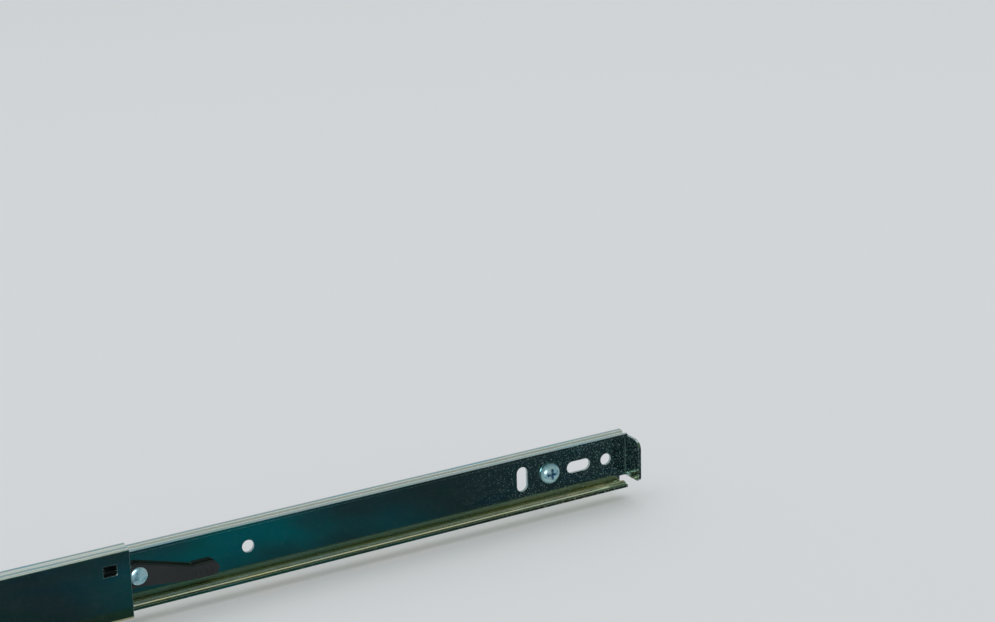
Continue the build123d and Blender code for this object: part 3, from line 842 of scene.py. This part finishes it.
class SLIDE_OT_cages(bpy.types.Operator):
    """Cuts the ball cages with round pockets"""

    bl_idname = "drawer_slide.cages"
    bl_label = "Cut the cages"

    def execute(self, context):
        self.mould_outer_strips(context)
        self.press_inner_cage(context)
        return {"FINISHED"}

    def mould_outer_strips(self, context):
        """Plastic strips whose pockets open towards the drawer."""
        sizes = context.scene.slide_sizes
        tone = context.scene.slide_finishes.natural
        natural = made_once("natural_moulding", moulded, "natural_moulding", tone, *NATURAL_FACE)
        pocket = sizes.ball_diameter / 2 + sizes.pocket_play
        for name, row in OUTER_STRIPS.items():
            low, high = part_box(name)
            outline = [(low.x, high.y), (low.x, low.y), (high.x, low.y), (high.x, high.y)]
            for centre in reversed(row_centres(row, sizes)):
                mouth = math.degrees(math.asin((high.y - centre.y) / pocket))
                outline += arc((centre.x, centre.y), pocket, mouth, -180 - mouth, MOUTH_STEPS)
            shape = bmesh.new()
            prism(shape, [Vector((x, y, low.z)) for x, y in outline], Vector((0, 0, high.z - low.z)))
            strip = mesh_piece(f"{name}_strip", shape, natural)
            break_edges(strip, sizes.cage_edge, segments=2)
            stands_for(strip, "outer_cage_body", "cage_plastic", name)

    def press_inner_cage(self, context):
        """Steel channel with pockets in both flanges and windows in its web."""
        sizes = context.scene.slide_sizes
        steel = made_once("oiled_strip", cage_strip, context.scene.slide_finishes)
        sheet, bend = sizes.cage_sheet, sizes.cage_bend
        fold = bend + sheet
        corner = (CAGE_LOW.y + fold, CAGE_HIGH.z - fold)
        outside = [(CAGE_HIGH.y, CAGE_HIGH.z)] + arc(corner, fold, 90, 180, CORNER_STEPS)
        inside = [(CAGE_HIGH.y, CAGE_HIGH.z - sheet)] + arc(corner, bend, 90, 180, CORNER_STEPS)
        profile = outside + [(y, -z) for y, z in reversed(outside)]
        profile += [(y, -z) for y, z in inside] + inside[::-1]
        shape = bmesh.new()
        outline = [Vector((CAGE_LOW.x, y, z)) for y, z in profile]
        prism(shape, outline, Vector((CAGE_HIGH.x - CAGE_LOW.x, 0, 0)))
        cage = mesh_piece("inner_cage_channel", shape, steel)
        cutter = bmesh.new()
        self.add_pockets(cutter, sizes)
        self.add_windows(cutter, sizes)
        combine(cage, mesh_piece("cage_cutter", cutter, steel), "DIFFERENCE")
        break_edges(cage, sizes.cage_edge, segments=2)
        stands_for(cage, "inner_cage_body", "cage_steel", "inner_cage")

    def add_pockets(self, cutter, sizes):
        """Round bars that cut a ball pocket through both flanges."""
        overshoot = MM
        pocket = sizes.ball_diameter / 2 + sizes.pocket_play
        last = 360 - 360 / POCKET_STEPS
        through = Vector((0, 0, CAGE_HIGH.z - CAGE_LOW.z + 2 * overshoot))
        for centre in row_centres(INNER_ROWS[0], sizes):
            ring = arc((centre.x, centre.y), pocket, 0, last, POCKET_STEPS - 1)
            prism(cutter, [Vector((x, y, CAGE_LOW.z - overshoot)) for x, y in ring], through)

    def add_windows(self, cutter, sizes):
        """Blocks with round corners that cut the windows in the web."""
        overshoot = MM
        radius = sizes.cage_window_corner
        pitch = (CAGE_HIGH.x - CAGE_LOW.x) / sizes.cage_windows
        half_long = (pitch - sizes.cage_window_bar) / 2 - radius
        half_high = sizes.cage_window_height / 2 - radius
        through = Vector((0, sizes.cage_sheet + 2 * overshoot, 0))
        for i in range(sizes.cage_windows):
            middle = CAGE_LOW.x + pitch * (i + 0.5)
            ring = []
            for k, (a, b) in enumerate(((1, 1), (-1, 1), (-1, -1), (1, -1))):
                centre = (middle + a * half_long, b * half_high)
                ring += arc(centre, radius, 90 * k, 90 * k + 90, CORNER_STEPS)
            prism(cutter, [Vector((x, CAGE_LOW.y - overshoot, z)) for x, z in ring], through)


class SLIDE_OT_stage(bpy.types.Operator):
    """Lays the floor, sets the light and places the camera"""

    bl_idname = "drawer_slide.stage"
    bl_label = "Set the stage"

    def execute(self, context):
        studio = context.scene.slide_studio
        context.scene.view_settings.view_transform = "Standard"
        self.lay_floor(studio)
        self.hang_cards(studio)
        self.set_light(context, studio)
        self.place_camera(context, studio)
        return {"FINISHED"}

    def plane(self, name, corners, tone):
        """A flat matt stage piece of one plain colour."""
        mesh = bpy.data.meshes.new(name)
        mesh.from_pydata(corners, [], [range(len(corners))])
        material = bpy.data.materials.new(name)
        material.use_nodes = True
        shader = material.node_tree.nodes["Principled BSDF"]
        shader.inputs["Base Color"].default_value = tone
        shader.inputs["Roughness"].default_value = MATT
        shader.inputs["Specular IOR Level"].default_value = 0.0
        mesh.materials.append(material)
        piece = bpy.data.objects.new(name, mesh)
        bpy.context.scene.collection.objects.link(piece)
        return piece

    def lay_floor(self, studio):
        """A wide floor just under the slide."""
        z, half = CAD_BOX[0].z - FLOOR_GAP, FLOOR_HALF
        corners = [(-half, -half, z), (half, -half, z), (half, half, z), (-half, half, z)]
        self.plane("floor", corners, studio.floor)

    def hang_cards(self, studio):
        """Dark cards and a white one on the wall side, which only mirror images show."""
        z = CAD_BOX[0].z
        left, right = CARD_SIDES
        foot = [(left, CARD_FAR, z), (right, CARD_FAR, z)]
        low = foot + [(right, CARD_NEAR, z), (left, CARD_NEAR, z)]
        high = foot + [(right, CARD_FAR, CARD_TOP), (left, CARD_FAR, CARD_TOP)]
        self.hang_dark_card("card_low", low, studio.card_low, studio.card_patch)
        self.hang_dark_card("card_high", high, studio.card_high, studio.card_patch)
        self.hang_white_card(studio)

    def hang_dark_card(self, name, corners, tone, patch_tone):
        """A card with soft patches over a stretch of its length."""
        card = self.plane(name, corners, tone)
        tree = card.data.materials[0].node_tree
        coords = node(tree, "ShaderNodeTexCoord").outputs["Object"]
        patches = span(tree, noise(tree, coords, 14.0, Detail=3.0), 0.32, 0.60, 0.0, 1.0)
        for start, end in PATCH_ENDS:
            gathered = span(tree, along_axis(tree, coords, "X"), start, end, 0.06, 1.0)
            patches = times(tree, patches, gathered)
        paint = mixed(tree, patches, tone, patch_tone)
        tree.links.new(paint, tree.nodes["Principled BSDF"].inputs["Base Color"])
        self.mirrored_only(card)

    def hang_white_card(self, studio):
        """A small bright card that gives the screw its highlight."""
        left, right = WHITE_SIDES
        bottom, top = WHITE_HEIGHTS
        y = CARD_FAR + WHITE_GAP
        corners = [(left, y, bottom), (right, y, bottom), (right, y, top), (left, y, top)]
        card = self.plane("card_white", corners, studio.sky)
        shader = card.data.materials[0].node_tree.nodes["Principled BSDF"]
        shader.inputs["Emission Color"].default_value = studio.sky
        shader.inputs["Emission Strength"].default_value = studio.card_glow
        self.mirrored_only(card)

    def mirrored_only(self, card):
        """Hides a card from everything but mirror images."""
        card.visible_camera = False
        card.visible_diffuse = False
        card.visible_shadow = False

    def set_light(self, context, studio):
        """Even light from all round and one softbox overhead."""
        world = bpy.data.worlds.new("studio")
        world.use_nodes = True
        background = world.node_tree.nodes["Background"]
        background.inputs["Color"].default_value = studio.sky
        background.inputs["Strength"].default_value = studio.sky_strength
        context.scene.world = world
        data = bpy.data.lights.new("softbox", "AREA")
        data.shape = "RECTANGLE"
        data.size, data.size_y = SOFTBOX_SIZE
        data.energy = studio.softbox_power
        lamp = bpy.data.objects.new("softbox", data)
        lamp.location = SOFTBOX_PLACE
        lamp.visible_camera = False
        context.scene.collection.objects.link(lamp)

    def place_camera(self, context, studio):
        """Looks along the slide from the wall side."""
        a, e, r = studio.azimuth, studio.elevation, studio.roll
        back = Vector((math.sin(a) * math.cos(e), -math.cos(a) * math.cos(e), math.sin(e)))
        right = (-back).cross(Vector((0, 0, 1))).normalized()
        up = right.cross(-back)
        right, up = math.cos(r) * right + math.sin(r) * up, math.cos(r) * up - math.sin(r) * right
        turn = Matrix((right, up, back)).transposed()
        data = bpy.data.cameras.new("camera")
        data.sensor_width = SENSOR_WIDTH
        data.lens = studio.lens
        data.clip_start = CLIP_START
        camera = bpy.data.objects.new("camera", data)
        camera.matrix_world = Matrix.Translation(studio.place) @ turn.to_4x4()
        context.scene.collection.objects.link(camera)
        context.scene.camera = camera


OPERATORS = (
    SLIDE_OT_rails,
    SLIDE_OT_mouldings,
    SLIDE_OT_screw,
    SLIDE_OT_rivet,
    SLIDE_OT_balls,
    SLIDE_OT_cages,
    SLIDE_OT_stage,
)
SETTINGS = {"slide_sizes": SlideSizes, "slide_finishes": SlideFinishes, "slide_studio": SlideStudio}


class SLIDE_PT_panel(bpy.types.Panel):
    """Lists the slide's pieces and their settings"""

    bl_idname = "SLIDE_PT_panel"
    bl_label = "Drawer Slide"
    bl_space_type = "VIEW_3D"
    bl_region_type = "UI"
    bl_category = "Drawer Slide"

    def draw(self, context):
        for operator in OPERATORS:
            self.layout.operator(operator.bl_idname)
        for name, settings in SETTINGS.items():
            box = self.layout.box()
            for key in settings.__annotations__:
                box.prop(getattr(context.scene, name), key)


def register():
    for cls in (*SETTINGS.values(), *OPERATORS, SLIDE_PT_panel):
        bpy.utils.register_class(cls)
    for name, settings in SETTINGS.items():
        setattr(bpy.types.Scene, name, PointerProperty(type=settings))


def unregister():
    for name in SETTINGS:
        delattr(bpy.types.Scene, name)
    for cls in reversed((*SETTINGS.values(), *OPERATORS, SLIDE_PT_panel)):
        bpy.utils.unregister_class(cls)


def main():
    register()
    for operator in OPERATORS:
        group, name = operator.bl_idname.split(".")
        getattr(getattr(bpy.ops, group), name)()


if __name__ == "__main__":
    main()
